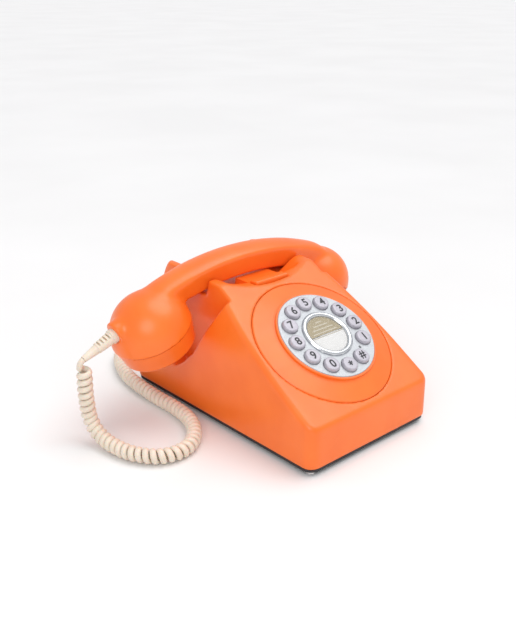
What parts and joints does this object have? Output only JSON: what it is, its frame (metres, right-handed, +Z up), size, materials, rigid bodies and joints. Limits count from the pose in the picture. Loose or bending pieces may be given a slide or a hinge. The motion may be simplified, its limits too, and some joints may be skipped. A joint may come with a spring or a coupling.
{
  "type": "push-button desk telephone",
  "caption": "Desk telephone with a sloping round push-button dial, a handset resting across a raised cradle, and a curly handset cord.",
  "frame": {"origin": "on the table, under the middle of the telephone with its handset, without the cord", "axes": "+X to the right along the handset, +Y to the back, +Z up"},
  "size_m": [0.2822, 0.2752, 0.1275],
  "materials": {
    "orange_shell": "smooth satin ABS",
    "base_plastic": "fine matte",
    "rubber": "matte",
    "screw_steel": "zinc plated",
    "dial_silver": "silver painted, satin",
    "button_silver": "pale silver, satin",
    "keypad_rubber": "matte",
    "circuit_board": "glass-fibre laminate",
    "ring_chrome": "bright",
    "label_paper": "matte card, upper half gold",
    "clear_window": "clear",
    "spring_steel": "wire",
    "bracket_steel": "zinc plated",
    "black_plastic": "matte",
    "copper_winding": "enamelled wire",
    "gong_brass": "bright",
    "cable_grey": "satin",
    "cream_cord": "satin vinyl"
  },
  "bodies": {
    "root": {"case_shell": "orange_shell", "dial_bezel": "orange_shell", "base_plate": "base_plastic", "keypad_back": "base_plastic", "handset_jack": "base_plastic", "line_jack": "base_plastic", "rubber_feet": "rubber", "case_screws": "screw_steel", "gong_screws": "screw_steel", "board_screws": "screw_steel", "dial_plate": "dial_silver", "keypad_mat": "keypad_rubber", "keypad_board": "circuit_board", "main_board": "circuit_board", "label_ring": "ring_chrome", "label_card": "label_paper", "label_window": "clear_window", "indicator_lens": "clear_window", "hook_spring": "spring_steel", "hook_bracket": "bracket_steel", "ringer_frame": "bracket_steel", "coil_core": "bracket_steel", "hook_switch": "black_plastic", "board_parts": "black_plastic", "ringer_coil": "copper_winding", "gong_left": "gong_brass", "gong_right": "gong_brass", "keypad_cable": "cable_grey", "handset_lead": "cream_cord", "handset_cord": "cream_cord", "cord_plug": "cream_cord"},
    "handset": {"handset_shell": "orange_shell", "mouthpiece_cap": "orange_shell", "earpiece_cap": "orange_shell", "microphone": "black_plastic", "receiver": "black_plastic", "handset_weight": "bracket_steel", "handset_wires": "cable_grey", "strain_relief": "cream_cord"},
    "hook": {"hook_bar": "orange_shell"},
    "ringer_clapper": {"clapper": "bracket_steel"},
    "button_1": {"button_1": "button_silver"},
    "button_2": {"button_2": "button_silver"},
    "button_3": {"button_3": "button_silver"},
    "button_4": {"button_4": "button_silver"},
    "button_5": {"button_5": "button_silver"},
    "button_6": {"button_6": "button_silver"},
    "button_7": {"button_7": "button_silver"},
    "button_8": {"button_8": "button_silver"},
    "button_9": {"button_9": "button_silver"},
    "button_0": {"button_0": "button_silver"},
    "button_star": {"button_star": "button_silver"},
    "button_hash": {"button_hash": "button_silver"}
  },
  "joints": [
    {"name": "handset_lift", "type": "slide", "parent": "root", "child": "handset", "axis": [0, 0, 1], "range_m": [0, 0.08]},
    {"name": "hook_travel", "type": "slide", "parent": "root", "child": "hook", "axis": [0, 0, 1], "range_m": [0, 0.004], "deforming": ["hook_spring"]},
    {"name": "clapper_swing", "type": "hinge", "parent": "root", "child": "ringer_clapper", "pos_m": [0.00786, 0.0439, 0.016], "axis": [0, 0, 1], "range_deg": [-2.4, 2.4], "stiffness_Nm_per_rad": 0.02},
    {"name": "button_1_press", "type": "slide", "parent": "root", "child": "button_1", "axis": [0, 0.524, -0.8517], "range_m": [0, 0.0018], "stiffness_N_per_m": 400, "springref_m": -0.0005},
    {"name": "button_2_press", "type": "slide", "parent": "root", "child": "button_2", "axis": [0, 0.524, -0.8517], "range_m": [0, 0.0018], "stiffness_N_per_m": 400, "springref_m": -0.0005},
    {"name": "button_3_press", "type": "slide", "parent": "root", "child": "button_3", "axis": [0, 0.524, -0.8517], "range_m": [0, 0.0018], "stiffness_N_per_m": 400, "springref_m": -0.0005},
    {"name": "button_4_press", "type": "slide", "parent": "root", "child": "button_4", "axis": [0, 0.524, -0.8517], "range_m": [0, 0.0018], "stiffness_N_per_m": 400, "springref_m": -0.0005},
    {"name": "button_5_press", "type": "slide", "parent": "root", "child": "button_5", "axis": [0, 0.524, -0.8517], "range_m": [0, 0.0018], "stiffness_N_per_m": 400, "springref_m": -0.0005},
    {"name": "button_6_press", "type": "slide", "parent": "root", "child": "button_6", "axis": [0, 0.524, -0.8517], "range_m": [0, 0.0018], "stiffness_N_per_m": 400, "springref_m": -0.0005},
    {"name": "button_7_press", "type": "slide", "parent": "root", "child": "button_7", "axis": [0, 0.524, -0.8517], "range_m": [0, 0.0018], "stiffness_N_per_m": 400, "springref_m": -0.0005},
    {"name": "button_8_press", "type": "slide", "parent": "root", "child": "button_8", "axis": [0, 0.524, -0.8517], "range_m": [0, 0.0018], "stiffness_N_per_m": 400, "springref_m": -0.0005},
    {"name": "button_9_press", "type": "slide", "parent": "root", "child": "button_9", "axis": [0, 0.524, -0.8517], "range_m": [0, 0.0018], "stiffness_N_per_m": 400, "springref_m": -0.0005},
    {"name": "button_0_press", "type": "slide", "parent": "root", "child": "button_0", "axis": [0, 0.524, -0.8517], "range_m": [0, 0.0018], "stiffness_N_per_m": 400, "springref_m": -0.0005},
    {"name": "button_star_press", "type": "slide", "parent": "root", "child": "button_star", "axis": [0, 0.524, -0.8517], "range_m": [0, 0.0018], "stiffness_N_per_m": 400, "springref_m": -0.0005},
    {"name": "button_hash_press", "type": "slide", "parent": "root", "child": "button_hash", "axis": [0, 0.524, -0.8517], "range_m": [0, 0.0018], "stiffness_N_per_m": 400, "springref_m": -0.0005}
  ],
  "couplings": [
    {"joint": "hook_travel", "follows": "handset_lift", "ratio": 0.05}
  ]
}
